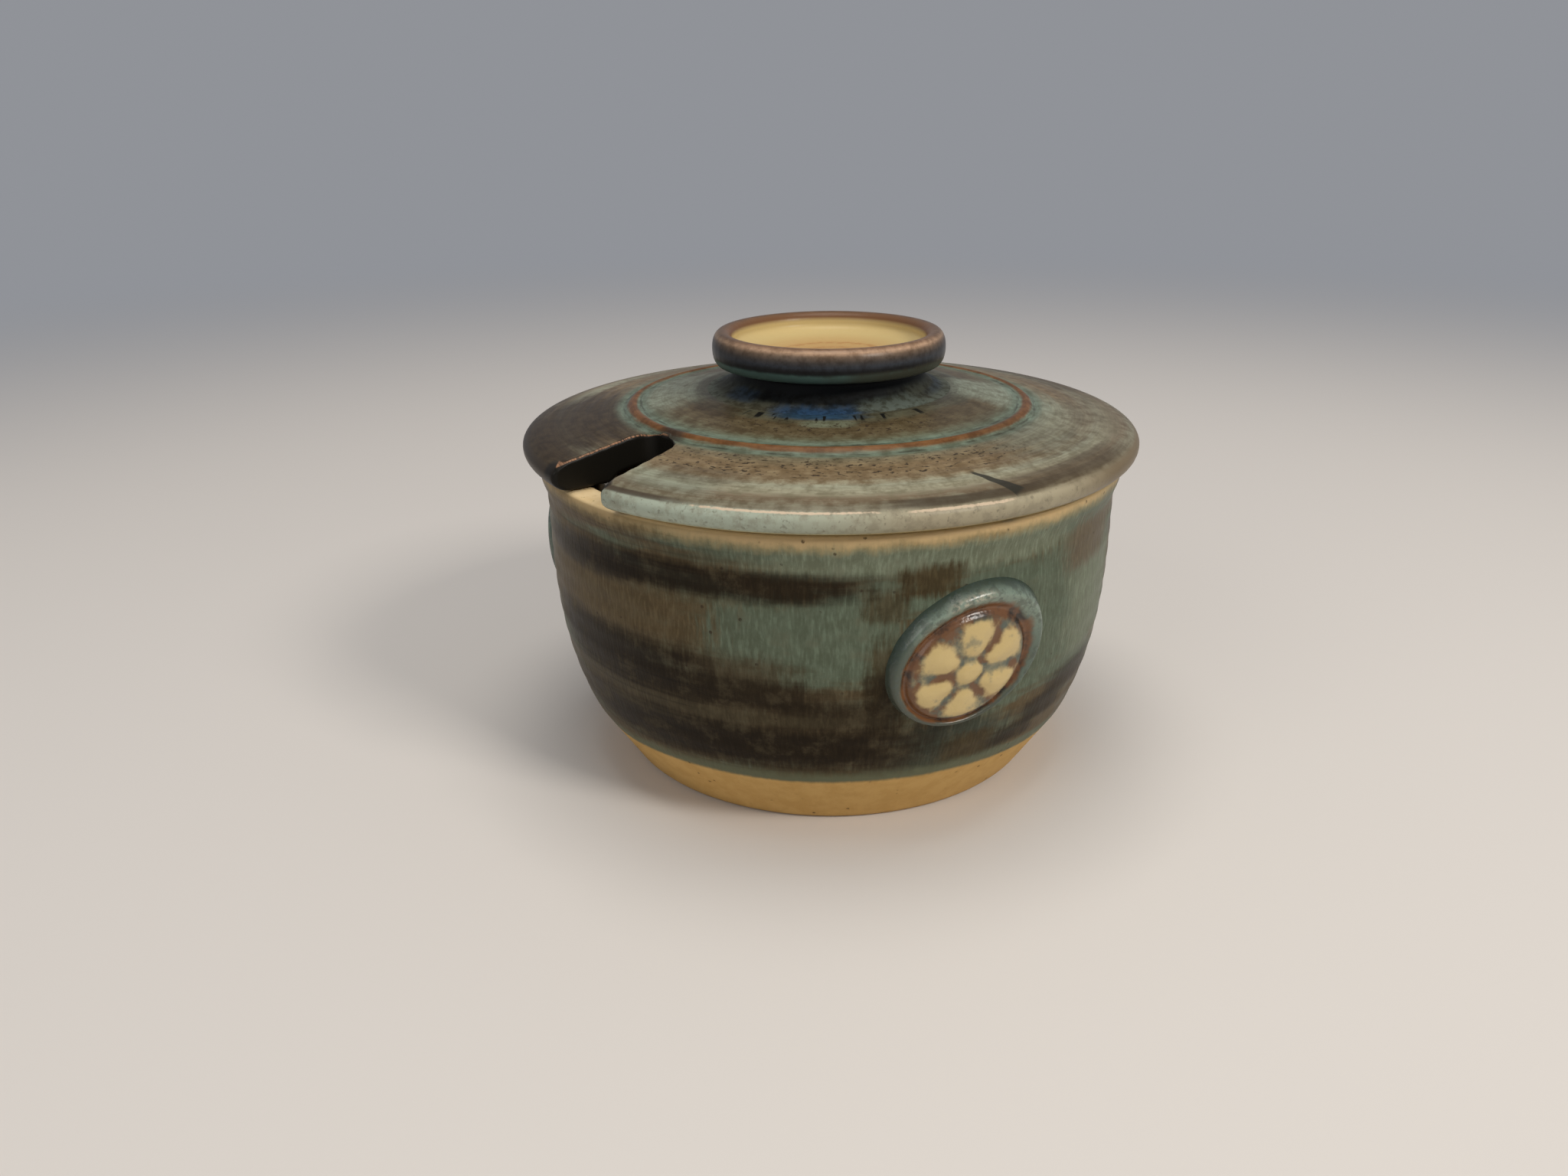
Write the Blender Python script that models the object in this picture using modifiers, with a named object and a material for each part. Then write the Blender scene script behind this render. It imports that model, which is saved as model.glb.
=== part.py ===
"""Small lidded stoneware jar: thrown pot, notched lid, cup knob and three stamped clay medallions.

Metres, +Z up. The origin is the middle of the foot's underside and the lid's spoon notch faces -Y.
"""
import math

import bmesh
import bpy

# Clearances
SEAT_GAP = 0.0003            # between pieces that rest on or are stuck to each other
FLANGE_CLEARANCE = 0.0008    # lid flange inside the mouth

# Jar body
BELLY_RADIUS = 0.05133
BELLY_HEIGHT = 0.0460        # where the wall is widest
CORNER_RADIUS = 0.0462       # where the wall turns into the bare bevel above the foot
CORNER_HEIGHT = 0.0113
FOOT_RADIUS = 0.0390
FOOT_EDGE = 0.0005           # worn edge of the foot
FOOT_RING_WIDTH = 0.0058
FOOT_RECESS = 0.0012
WALL = 0.0042
FLOOR_HEIGHT = 0.0072
RIM_FLARE = 0.0012           # how far the rim stands out past the belly
RIM_HEIGHT = 0.0557
RIM_WIDTH = 0.0055
RIM_ROUND = 0.0011
WALL_POWER = 2.9             # how late the wall curves in towards the corner
INSIDE_POWER = 4.5           # squareness of the inside's corner

# Lid
LID_RADIUS = 0.0550
LID_EDGE = 0.0051            # thickness where the rounded edge starts
LID_EDGE_ROUND = 0.0050      # reach of the edge's upper rounding
LID_EDGE_START = 72.0        # degrees on that rounding at which the flat top runs into it
LID_EDGE_TURN = 0.0026       # height of the widest line above the underside
LID_UNDERCUT = 0.0034        # reach of the edge's lower rounding
LID_RISE = 0.0051            # from the edge's top up to the knob's seat
LID_WALL = 0.0052            # thickness of the lid's middle
RING_RADIUS = 0.0354         # turned ridge on top
RING_WIDTH = 0.0022
RING_HEIGHT = 0.0005
FLANGE_DEPTH = 0.0050
FLANGE_WALL = 0.0030
FLANGE_ROUND = 0.0008

# Spoon notch in the lid
NOTCH_WIDTH = 0.0113         # at the middle of its length
NOTCH_MIDDLE_RADIUS = 0.0460
NOTCH_TAPER = 5.6            # degrees by which each side opens towards the mouth
NOTCH_SHIFT = 0.0004         # how far the hand-cut middle line lies to -X
NOTCH_END_RADIUS = 0.0366    # distance of the notch's inner end from the axis
NOTCH_END_ROUND = 0.0034
NOTCH_MOUTH_ROUND = 0.0010

# Knob
KNOB_BASE_RADIUS = 0.0226
KNOB_BASE_EDGE = 0.0006
KNOB_WAIST_RADIUS = 0.0166
KNOB_WAIST_HEIGHT = 0.0036   # above the knob's base
KNOB_RADIUS = 0.0208
KNOB_HEIGHT = 0.0100
KNOB_MOUTH_RADIUS = 0.0171
KNOB_BEAD_HEIGHT = 0.0060
KNOB_FLOOR = 0.0054          # thickness under the cup
KNOB_CUP_POWER = 2.4

# Medallions
MEDALLION_LENGTH = 0.0286
MEDALLION_BREADTH = 0.0230
MEDALLION_TILT = 26.0        # degrees, long axis leaning up to the right
MEDALLION_HEIGHT = 0.0343    # height of the middle above the table
MEDALLION_FIRST = -18.6      # degrees from +X
MEDALLION_STEP = 115.8       # degrees from one to the next, as set by eye
MEDALLION_NAMES = ("medallion_right", "medallion_back", "medallion_left")
PAD_THICKNESS = 0.0015
RIM_BEAD = 0.0008            # rim's crest above the pad's face
MOAT_DEPTH = 0.0006          # groove inside the rim
STAMP_SHIFT = 0.0024         # how far the stamp was pressed off the pad's middle
STAMP_SHIFT_TURN = -48.0     # degrees, down to the right
PETALS = 6
PETAL_RELIEF = 0.0007

# Facets
JAR_STEPS = 64
KNOB_STEPS = 48
MEDALLION_STEPS = 36

# Heights and radii that follow from the sizes above
LID_UNDERSIDE = RIM_HEIGHT + SEAT_GAP
LID_EDGE_TOP = LID_UNDERSIDE + LID_EDGE
KNOB_SEAT = LID_EDGE_TOP + LID_RISE
KNOB_BASE = KNOB_SEAT + SEAT_GAP
RIM_RADIUS = BELLY_RADIUS + RIM_FLARE
MOUTH_RADIUS = RIM_RADIUS - RIM_WIDTH
INSIDE_RADIUS = BELLY_RADIUS - WALL


def spaced(first, last, count):
    """Evenly spaced values from first to last, both included."""
    return [first + (last - first) * i / (count - 1) for i in range(count)]


def wall_radius(height):
    """Outer radius of the pot: a bevel over the foot, a curve up to the belly, upright above it."""
    if height >= BELLY_HEIGHT:
        return BELLY_RADIUS
    if height <= CORNER_HEIGHT:
        return FOOT_RADIUS + (CORNER_RADIUS - FOOT_RADIUS) * height / CORNER_HEIGHT
    depth = (BELLY_HEIGHT - height) / (BELLY_HEIGHT - CORNER_HEIGHT)
    return BELLY_RADIUS - (BELLY_RADIUS - CORNER_RADIUS) * depth ** WALL_POWER


def quarter(centre, reach, power, start, end, count):
    """Points on a superellipse about centre, from the start to the end angle in degrees."""
    points = []
    for angle in spaced(start, end, count):
        c, s = math.cos(math.radians(angle)), math.sin(math.radians(angle))
        across = math.copysign(abs(c) ** (2.0 / power), c) if abs(c) > 1e-9 else 0.0
        up = math.copysign(abs(s) ** (2.0 / power), s) if abs(s) > 1e-9 else 0.0
        points.append((centre[0] + reach[0] * across, centre[1] + reach[1] * up))
    return points


def material(name, colour, roughness):
    """Ceramic surface of one colour."""
    finish = bpy.data.materials.new(name)
    finish.use_nodes = True
    shader = finish.node_tree.nodes["Principled BSDF"]
    shader.inputs["Base Color"].default_value = (*colour, 1.0)
    shader.inputs["Roughness"].default_value = roughness
    shader.inputs["Metallic"].default_value = 0.0
    return finish


def turned(name, profile, steps, collection):
    """Object made by turning a profile of (radius, height) points about Z."""
    mesh = bpy.data.meshes.new(name)
    edges = [(i, i + 1) for i in range(len(profile) - 1)]
    mesh.from_pydata([(r, 0.0, z) for r, z in profile], edges, [])
    piece = bpy.data.objects.new(name, mesh)
    collection.objects.link(piece)
    screw = piece.modifiers.new("Turn", "SCREW")
    screw.axis = "Z"
    screw.angle = math.tau
    screw.steps = steps
    screw.render_steps = steps
    screw.use_merge_vertices = True
    screw.merge_threshold = 0.00005
    screw.use_smooth_shade = True
    return piece


def jar_profile():
    """Section of the pot from the middle of its floor up the inside, over the rim and down to the foot."""
    depth = BELLY_HEIGHT - FLOOR_HEIGHT
    inside = quarter((0.0, BELLY_HEIGHT), (INSIDE_RADIUS, depth), INSIDE_POWER, -90.0, 0.0, 11)
    rim_low = RIM_HEIGHT - RIM_ROUND
    mouth = quarter((MOUTH_RADIUS + RIM_ROUND, rim_low), (RIM_ROUND, RIM_ROUND), 2.0, 180.0, 90.0, 4)
    lip = quarter((RIM_RADIUS - RIM_ROUND, rim_low), (RIM_ROUND, RIM_ROUND), 2.0, 90.0, 0.0, 4)
    under_lip = [(BELLY_RADIUS + RIM_FLARE * 0.35, rim_low - 2.0 * RIM_ROUND)]
    heights = spaced(BELLY_HEIGHT, CORNER_HEIGHT, 11) + spaced(CORNER_HEIGHT, FOOT_EDGE, 4)[1:]
    outside = [(wall_radius(z), z) for z in heights]
    ring_inner = FOOT_RADIUS - FOOT_RING_WIDTH
    foot = [
        (FOOT_RADIUS - FOOT_EDGE, 0.0),
        (ring_inner, 0.0),
        (ring_inner - FOOT_RECESS, FOOT_RECESS),
        (0.0, FOOT_RECESS),
    ]
    return inside + mouth + lip + under_lip + outside + foot


def lid_profile():
    """Section of the lid from its middle over the top, round the edge and back along the underside."""
    start = math.radians(LID_EDGE_START)
    edge_in = LID_RADIUS - LID_EDGE_ROUND * (1.0 - math.cos(start))
    seat_radius = KNOB_BASE_RADIUS + KNOB_BASE_EDGE
    slope = LID_RISE / (edge_in - seat_radius)

    def top(radius):
        return KNOB_SEAT - slope * (radius - seat_radius)

    ring_out = RING_RADIUS + RING_WIDTH
    ring = [
        (RING_RADIUS - RING_WIDTH, top(RING_RADIUS - RING_WIDTH)),
        (RING_RADIUS, top(RING_RADIUS) + RING_HEIGHT),
        (RING_RADIUS + RING_WIDTH * 0.5, top(RING_RADIUS + RING_WIDTH * 0.5) - RING_HEIGHT * 0.5),
        (ring_out, top(ring_out)),
    ]
    widest = LID_UNDERSIDE + LID_EDGE_TURN
    shoulder = (LID_EDGE - LID_EDGE_TURN) / math.sin(start)
    upper, lower = (LID_RADIUS - LID_EDGE_ROUND, widest), (LID_RADIUS - LID_UNDERCUT, widest)
    edge = quarter(upper, (LID_EDGE_ROUND, shoulder), 2.0, LID_EDGE_START, 0.0, 6)
    edge += quarter(lower, (LID_UNDERCUT, LID_EDGE_TURN), 2.0, 0.0, -90.0, 5)[1:]
    flange_out = MOUTH_RADIUS - FLANGE_CLEARANCE
    flange_in = flange_out - FLANGE_WALL
    flange_low = LID_UNDERSIDE - FLANGE_DEPTH
    flange = [
        (flange_out, LID_UNDERSIDE),
        (flange_out, flange_low + FLANGE_ROUND),
        (flange_out - FLANGE_ROUND, flange_low),
        (flange_in + FLANGE_ROUND, flange_low),
        (flange_in, flange_low + FLANGE_ROUND),
        (flange_in, top(flange_in) - LID_WALL),
    ]
    middle = [(0.0, KNOB_SEAT), (seat_radius, KNOB_SEAT)]
    under = [(seat_radius, KNOB_SEAT - LID_WALL), (0.0, KNOB_SEAT - LID_WALL)]
    return middle + ring + edge + flange + under


def notch_side(side):
    """One side of the notch, from the mouth's rounded corner to the rounded inner end.

    The side at +X is 1 and the side at -X is -1. Both corners are arcs tangent to the straight side:
    the mouth's also touches the lid's edge, and the inner one the end of the notch."""
    lean = math.radians(side * NOTCH_TAPER)
    outwards = (math.sin(lean), -math.cos(lean))
    into_lid = (side * math.cos(lean), side * math.sin(lean))
    start = (side * NOTCH_WIDTH * 0.5 - NOTCH_SHIFT, -NOTCH_MIDDLE_RADIUS)

    offset = tuple(start[k] + NOTCH_MOUTH_ROUND * into_lid[k] for k in (0, 1))
    along = offset[0] * outwards[0] + offset[1] * outwards[1]
    spare = (LID_RADIUS - NOTCH_MOUTH_ROUND) ** 2 - offset[0] ** 2 - offset[1] ** 2
    reach = math.sqrt(along ** 2 + spare) - along
    mouth_centre = tuple(offset[k] + reach * outwards[k] for k in (0, 1))
    mouth_start = math.degrees(math.atan2(mouth_centre[1], mouth_centre[0]))
    mouth_end = math.degrees(math.atan2(-into_lid[1], -into_lid[0]))
    mouth = quarter(mouth_centre, (NOTCH_MOUTH_ROUND,) * 2, 2.0, mouth_start, mouth_end, 6)

    inner_y = -NOTCH_END_RADIUS - NOTCH_END_ROUND
    back = (inner_y - start[1] + NOTCH_END_ROUND * into_lid[1]) / outwards[1]
    inner_x = start[0] + back * outwards[0] - NOTCH_END_ROUND * into_lid[0]
    inner_start = math.degrees(math.atan2(into_lid[1], into_lid[0]))
    inner = quarter((inner_x, inner_y), (NOTCH_END_ROUND,) * 2, 2.0, inner_start, 90.0, 6)
    return mouth + inner


def notch_outline():
    """Plan of the spoon notch: sides that open outwards, a rounded inner end and rounded mouth corners."""
    outside = LID_RADIUS + LID_EDGE
    right, left = notch_side(1), notch_side(-1)
    left.reverse()
    return [(right[0][0], -outside)] + right + left + [(left[-1][0], -outside)]


def notch_cutter(collection):
    """Solid that takes the spoon notch out of the lid, from below the flange to above the knob's seat."""
    low = LID_UNDERSIDE - 2.0 * FLANGE_DEPTH
    high = KNOB_SEAT + LID_RISE
    outline = bpy.data.curves.new("notch_outline", "CURVE")
    outline.dimensions = "2D"
    outline.fill_mode = "BOTH"
    outline.extrude = (high - low) * 0.5
    points = notch_outline()
    spline = outline.splines.new("POLY")
    spline.points.add(len(points) - 1)
    for point, (x, y) in zip(spline.points, points):
        point.co = (x, y, 0.0, 1.0)
    spline.use_cyclic_u = True
    guide = bpy.data.objects.new("notch_outline", outline)
    guide.location.z = (low + high) * 0.5
    collection.objects.link(guide)
    bpy.context.view_layer.update()
    evaluated = guide.evaluated_get(bpy.context.evaluated_depsgraph_get())
    mesh = bpy.data.meshes.new_from_object(evaluated)
    shape = bmesh.new()
    shape.from_mesh(mesh)
    bmesh.ops.remove_doubles(shape, verts=shape.verts, dist=0.00001)
    bmesh.ops.recalc_face_normals(shape, faces=shape.faces)
    shape.to_mesh(mesh)
    shape.free()
    cutter = bpy.data.objects.new("notch_cutter", mesh)
    cutter.matrix_world = guide.matrix_world
    collection.objects.link(cutter)
    bpy.data.objects.remove(guide)
    cutter.hide_render = True
    cutter.display_type = "WIRE"
    return cutter


def knob_profile():
    """Section of the knob from the middle of its cup over the rolled rim and down to its flared base."""
    top = KNOB_BASE + KNOB_HEIGHT
    bead_middle = top - KNOB_BEAD_HEIGHT * 0.5
    cup_floor = KNOB_BASE + KNOB_FLOOR
    crest = (KNOB_MOUTH_RADIUS + KNOB_RADIUS) * 0.5
    roll = KNOB_RADIUS - crest
    cup_top = top - roll
    cup = quarter((0.0, cup_top), (KNOB_MOUTH_RADIUS, cup_top - cup_floor), KNOB_CUP_POWER, -90.0, 0.0, 7)
    inner_roll = quarter((crest, cup_top), (roll, roll), 2.0, 180.0, 90.0, 4)[1:]
    outer_roll = quarter((crest, bead_middle), (roll, top - bead_middle), 2.3, 90.0, -60.0, 8)[1:]
    waist = KNOB_BASE + KNOB_WAIST_HEIGHT
    flare = quarter(
        (KNOB_BASE_RADIUS, waist),
        (KNOB_BASE_RADIUS - KNOB_WAIST_RADIUS, KNOB_WAIST_HEIGHT - KNOB_BASE_EDGE),
        2.0, 180.0, 270.0, 6,
    )
    base = [(KNOB_BASE_RADIUS, KNOB_BASE), (0.0, KNOB_BASE)]
    return cup + inner_roll + outer_roll + flare + base


def medallion_profile():
    """Section of the flat pad on a radius of 1: field, groove, rim, edge and back, as (share, height)."""
    face = SEAT_GAP + PAD_THICKNESS
    field = [(share, face) for share in (0.0, 0.16, 0.28, 0.41, 0.54, 0.68)]
    groove = [(0.73, face - MOAT_DEPTH), (0.80, face - MOAT_DEPTH)]
    rim = [(0.86, face + RIM_BEAD * 0.6), (0.92, face + RIM_BEAD), (0.97, face + RIM_BEAD * 0.3)]
    edge = [(1.0, face - PAD_THICKNESS * 0.45), (1.0, SEAT_GAP)]
    back = [(0.66, SEAT_GAP), (0.33, SEAT_GAP), (0.0, SEAT_GAP)]
    return field + groove + rim + edge + back


def petal_relief(share, angle):
    """Height of the stamped rosette above the pad's face: a round boss with petals about it."""
    if share < 0.18:
        return PETAL_RELIEF
    if share > 0.64:
        return 0.0
    along = math.sin(math.pi * (share - 0.18) / 0.46) ** 0.5
    across = 0.5 + 0.5 * math.cos(PETALS * angle)
    return PETAL_RELIEF * along * across


def medallion(name, azimuth, collection):
    """Stamped pad, turned flat, drawn out to an oval and pressed round the wall of the pot."""
    blank = turned(name, medallion_profile(), MEDALLION_STEPS, collection)
    bpy.context.view_layer.update()
    evaluated = blank.evaluated_get(bpy.context.evaluated_depsgraph_get())
    mesh = bpy.data.meshes.new_from_object(evaluated)
    bpy.data.objects.remove(blank)
    tilt = math.radians(MEDALLION_TILT)
    shift = math.radians(STAMP_SHIFT_TURN)
    wall = wall_radius(MEDALLION_HEIGHT)
    face = SEAT_GAP + PAD_THICKNESS
    for vertex in mesh.vertices:
        share = math.hypot(vertex.co.x, vertex.co.y)
        angle = math.atan2(vertex.co.y, vertex.co.x)
        lift = vertex.co.z
        if lift > face - MOAT_DEPTH * 0.5:
            lift += petal_relief(share, angle)
        along = vertex.co.x * MEDALLION_LENGTH * 0.5
        across = vertex.co.y * MEDALLION_BREADTH * 0.5
        moved = STAMP_SHIFT * (1.0 - share ** 4)
        right = along * math.cos(tilt) - across * math.sin(tilt) + moved * math.cos(shift)
        rise = along * math.sin(tilt) + across * math.cos(tilt) + moved * math.sin(shift)
        height = MEDALLION_HEIGHT + rise
        radius = wall_radius(height) + lift
        turn = math.radians(azimuth) + right / wall
        vertex.co = (radius * math.cos(turn), radius * math.sin(turn), height)
    mesh.name = name
    mesh.shade_smooth()
    piece = bpy.data.objects.new(name, mesh)
    collection.objects.link(piece)
    return piece


for old in list(bpy.data.objects):
    bpy.data.objects.remove(old, do_unlink=True)

parts = bpy.data.collections.new("lidded_jar")
cutters = bpy.data.collections.new("lidded_jar_cutters")
for group in (parts, cutters):
    bpy.context.scene.collection.children.link(group)

jar_glaze = material("jar_glaze", (0.115, 0.115, 0.085), 0.35)
lid_glaze = material("lid_glaze", (0.150, 0.150, 0.115), 0.35)
knob_glaze = material("knob_glaze", (0.060, 0.055, 0.052), 0.25)
medallion_glaze = material("medallion_glaze", (0.330, 0.270, 0.150), 0.30)

jar_body = turned("jar_body", jar_profile(), JAR_STEPS, parts)
jar_body.data.materials.append(jar_glaze)

for index, medallion_name in enumerate(MEDALLION_NAMES):
    pad = medallion(medallion_name, MEDALLION_FIRST + MEDALLION_STEP * index, parts)
    pad.data.materials.append(medallion_glaze)
    pad.parent = jar_body

lid_axis = bpy.data.objects.new("lid_axis", None)
parts.objects.link(lid_axis)

lid = turned("lid", lid_profile(), JAR_STEPS, parts)
lid.data.materials.append(lid_glaze)
notch = lid.modifiers.new("Spoon notch", "BOOLEAN")
notch.operation = "DIFFERENCE"
notch.solver = "EXACT"
notch.object = notch_cutter(cutters)
lid.parent = lid_axis

lid_knob = turned("lid_knob", knob_profile(), KNOB_STEPS, parts)
lid_knob.data.materials.append(knob_glaze)
lid_knob.parent = lid_axis
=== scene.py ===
import math

import bpy
import numpy as np
from mathutils import Matrix, Vector


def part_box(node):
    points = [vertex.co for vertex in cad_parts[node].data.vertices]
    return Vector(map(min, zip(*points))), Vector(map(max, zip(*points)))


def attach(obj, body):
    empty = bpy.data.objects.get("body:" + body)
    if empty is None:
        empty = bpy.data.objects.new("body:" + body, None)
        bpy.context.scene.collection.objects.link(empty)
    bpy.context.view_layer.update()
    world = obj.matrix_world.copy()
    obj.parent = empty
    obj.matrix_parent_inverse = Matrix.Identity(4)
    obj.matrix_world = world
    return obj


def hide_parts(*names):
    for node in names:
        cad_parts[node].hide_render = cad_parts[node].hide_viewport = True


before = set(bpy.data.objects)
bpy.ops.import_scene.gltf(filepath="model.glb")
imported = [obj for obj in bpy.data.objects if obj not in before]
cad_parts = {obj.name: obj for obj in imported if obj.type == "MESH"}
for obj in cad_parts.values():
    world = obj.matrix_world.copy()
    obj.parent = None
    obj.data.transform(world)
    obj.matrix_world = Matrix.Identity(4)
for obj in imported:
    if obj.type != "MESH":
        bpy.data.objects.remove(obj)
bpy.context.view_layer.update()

# Jar body: a stoneware pot thrown on the wheel, with a flat seat turned on its rim and a bare bevel
# turned down to the foot. The inside is glazed cream; the outside has dark strokes of iron brushed
# round it under a running olive and teal glaze that stops in a line above the foot.
MM = 0.001
jar_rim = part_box("jar_body")[1].z
rim_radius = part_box("jar_body")[1].x
rim_flare = 1.2 * MM
rim_width = 5.5 * MM
belly_radius = rim_radius - rim_flare
belly_height = 46.0 * MM
corner_radius = 46.2 * MM
corner_height = 11.3 * MM
foot_radius = 39.0 * MM
foot_ring = 5.8 * MM
foot_recess = 1.2 * MM
wall_power = 2.9
wall_thickness = 4.2 * MM
mouth_radius = rim_radius - rim_width
inside_radius = belly_radius - wall_thickness
inside_power = 4.5
floor_height = 7.2 * MM
edge_round = 1.1 * MM
glaze_line = 11.0 * MM
jar_rows, jar_columns = 260, 352


def wall_radius(height):
    """Outer radius: a straight bevel over the foot, then a power curve that swells to the belly."""
    bevel = foot_radius + (corner_radius - foot_radius) * height / corner_height
    depth = np.clip((belly_height - height) / (belly_height - corner_height), 0.0, 1.0)
    curve = belly_radius - (belly_radius - corner_radius) * depth ** wall_power
    lip = rim_flare * np.clip((height - belly_height) / (jar_rim - belly_height), 0, 1) ** 3
    return np.where(height < corner_height, bevel, curve + lip)


def superellipse(centre, reach, power, start, end, count):
    """Points at centre plus reach times the signed 2/power powers of cosine and sine."""
    angle = np.radians(np.linspace(start, end, count))
    c, s = np.cos(angle), np.sin(angle)
    across = np.sign(c) * np.abs(c) ** (2.0 / power)
    up = np.sign(s) * np.abs(s) ** (2.0 / power)
    return np.stack([centre[0] + reach[0] * across, centre[1] + reach[1] * up], axis=1)


def soften(corners, rounding, share=0.48, steps=6):
    """Path through the corners, each rounded off by a parabola that is tangent to both its sides.

    The parabola starts the rounding's length from the corner, or that share of a side if it is short."""
    corners = np.asarray(corners, float)
    path = [corners[:1]]
    t = np.linspace(0.0, 1.0, steps)[:, None]
    for before, here, after in zip(corners[:-2], corners[1:-1], corners[2:]):
        first, last = (here + side * min(rounding / np.linalg.norm(side), share)
                       for side in (before - here, after - here))
        path.append((1 - t) ** 2 * first + 2 * t * (1 - t) * here + t ** 2 * last)
    path.append(corners[-1:])
    return np.concatenate(path)


def evenly(path, count):
    """The path stepped again at count points, spaced evenly along its length."""
    length = np.concatenate([[0.0], np.cumsum(np.linalg.norm(np.diff(path, axis=0), axis=1))])
    at = np.linspace(0.0, length[-1], count)
    return np.stack([np.interp(at, length, path[:, k]) for k in range(path.shape[1])], axis=1)


def closed_grid(name, grid, attributes=None):
    """Mesh object from rows of points that close round; the first and last rows each shrink to a pole.

    grid is rows by columns by 3, and each attribute holds one number for each of those points."""
    rows, columns = grid.shape[:2]
    ring = np.arange((rows - 2) * columns).reshape(rows - 2, columns)
    following = np.roll(ring, -1, axis=1)
    quads = np.stack([ring[:-1], ring[1:], following[1:], following[:-1]], axis=-1).reshape(-1, 4)
    first, last = (rows - 2) * columns, (rows - 2) * columns + 1
    top = np.stack([np.full(columns, first), ring[0], following[0]], axis=-1)
    bottom = np.stack([np.full(columns, last), following[-1], ring[-1]], axis=-1)
    points = np.concatenate([grid[1:-1].reshape(-1, 3), grid[0, :1], grid[-1, :1]])
    mesh = bpy.data.meshes.new(name)
    mesh.from_pydata(points.tolist(), [], quads.tolist() + top.tolist() + bottom.tolist())
    for label, values in (attributes or {}).items():
        flat = np.concatenate([values[1:-1].ravel(), values[0, :1], values[-1, :1]])
        layer = mesh.attributes.new(label, "FLOAT", "POINT")
        layer.data.foreach_set("value", flat.astype(np.float32))
    mesh.shade_smooth()
    piece = bpy.data.objects.new(name, mesh)
    bpy.context.scene.collection.objects.link(piece)
    return piece


def turned(profile, columns):
    """Rows of points made by carrying a (radius, height) profile round the Z axis."""
    angle = np.linspace(0.0, 2.0 * np.pi, columns, endpoint=False)
    radius, height = profile[:, :1], profile[:, 1:]
    ones = np.ones_like(angle)
    return np.stack([radius * np.cos(angle), radius * np.sin(angle), height * ones], axis=-1)


inside_depth = belly_height - floor_height
inside = superellipse((0, belly_height), (inside_radius, inside_depth), inside_power, -90, 0, 60)
wall_heights = np.linspace(belly_height + 5 * MM, 0.6 * MM, 90)
jar_section = evenly(soften(np.concatenate([
    inside,
    [(mouth_radius, jar_rim), (rim_radius, jar_rim), (rim_radius - 0.1 * MM, jar_rim - 2.2 * MM)],
    np.stack([wall_radius(wall_heights), wall_heights], axis=1),
    [(foot_radius - 0.3 * MM, 0), (foot_radius - foot_ring, 0),
     (foot_radius - foot_ring - foot_recess, foot_recess), (0, foot_recess)],
]), edge_round), jar_rows)
jar_grid = turned(jar_section, jar_columns)
rim_row = int(np.argmax(jar_section[:, 1] > jar_rim - 0.3 * MM))
jar_inside = np.repeat((np.arange(jar_rows) < rim_row)[:, None], jar_columns, axis=1)

# Throwing marks: a shallow spiral ridge that fades out towards the glaze line and the rim.
throwing_pitch = 0.62 * MM
throwing_depth = 0.0009
level = jar_grid[..., 2]
throwing = np.sin(level / throwing_pitch + np.arctan2(jar_grid[..., 1], jar_grid[..., 0]))
fading = np.clip((level - glaze_line) / (4 * MM), 0, 1) * np.clip((jar_rim - 3 * MM - level) / (3 * MM), 0, 1)
jar_grid[..., :2] *= (1 + throwing_depth * throwing * fading)[..., None]
jar_piece = closed_grid("jar_pot", jar_grid, {"inside": jar_inside})


def add(tree, kind, inputs=None, **settings):
    """A node of that kind with its settings; each input is linked if it is a socket and set if not."""
    node = tree.nodes.new(kind)
    for key, value in settings.items():
        setattr(node, key, value)
    for key, value in (inputs or {}).items():
        if isinstance(value, bpy.types.NodeSocket):
            tree.links.new(value, node.inputs[key])
        else:
            node.inputs[key].default_value = value
    return node


def calc(tree, operation, *values):
    """Result of a Math node on up to three values."""
    return add(tree, "ShaderNodeMath", dict(enumerate(values)), operation=operation).outputs[0]


def times(tree, *values):
    """Product of two or more values."""
    product = values[0]
    for value in values[1:]:
        product = calc(tree, "MULTIPLY", product, value)
    return product


def apart(tree, value, middle):
    """Distance of a value from a middle value, to either side."""
    return calc(tree, "ABSOLUTE", calc(tree, "SUBTRACT", value, middle))


def vector(tree, x, y, z):
    """Three values as one vector."""
    return add(tree, "ShaderNodeCombineXYZ", {0: x, 1: y, 2: z}).outputs[0]


def dot(tree, first, second):
    """Dot product of two vectors."""
    return add(tree, "ShaderNodeVectorMath", {0: first, 1: second}, operation="DOT_PRODUCT").outputs["Value"]


def own_place(tree):
    """Place of a point in its piece's own frame, in metres."""
    return add(tree, "ShaderNodeTexCoord").outputs["Object"]


def attribute(tree, label):
    """The number that the mesh keeps under that label."""
    return add(tree, "ShaderNodeAttribute", attribute_name=label).outputs["Fac"]


def noise(tree, at, scale, detail=3.0, roughness=0.55):
    """Noise between about 0.2 and 0.8 at a vector."""
    inputs = {"Vector": at, "Scale": scale, "Detail": detail, "Roughness": roughness}
    return add(tree, "ShaderNodeTexNoise", inputs).outputs[0]


def ease(tree, value, low, high):
    """Smooth step of a value from 0 at low to 1 at high; low may be the larger of the two."""
    inputs = {"Value": value, "From Min": low, "From Max": high}
    return add(tree, "ShaderNodeMapRange", inputs, interpolation_type="SMOOTHSTEP").outputs[0]


def blend(tree, mask, under, over, kind="MIX"):
    """Colour over laid on colour under where the mask is 1."""
    node = add(tree, "ShaderNodeMix", {0: mask}, data_type="RGBA", blend_type=kind)
    for index, colour in ((6, under), (7, over)):
        if isinstance(colour, bpy.types.NodeSocket):
            tree.links.new(colour, node.inputs[index])
        else:
            node.inputs[index].default_value = (*colour, 1.0)
    return node.outputs[2]


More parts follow.
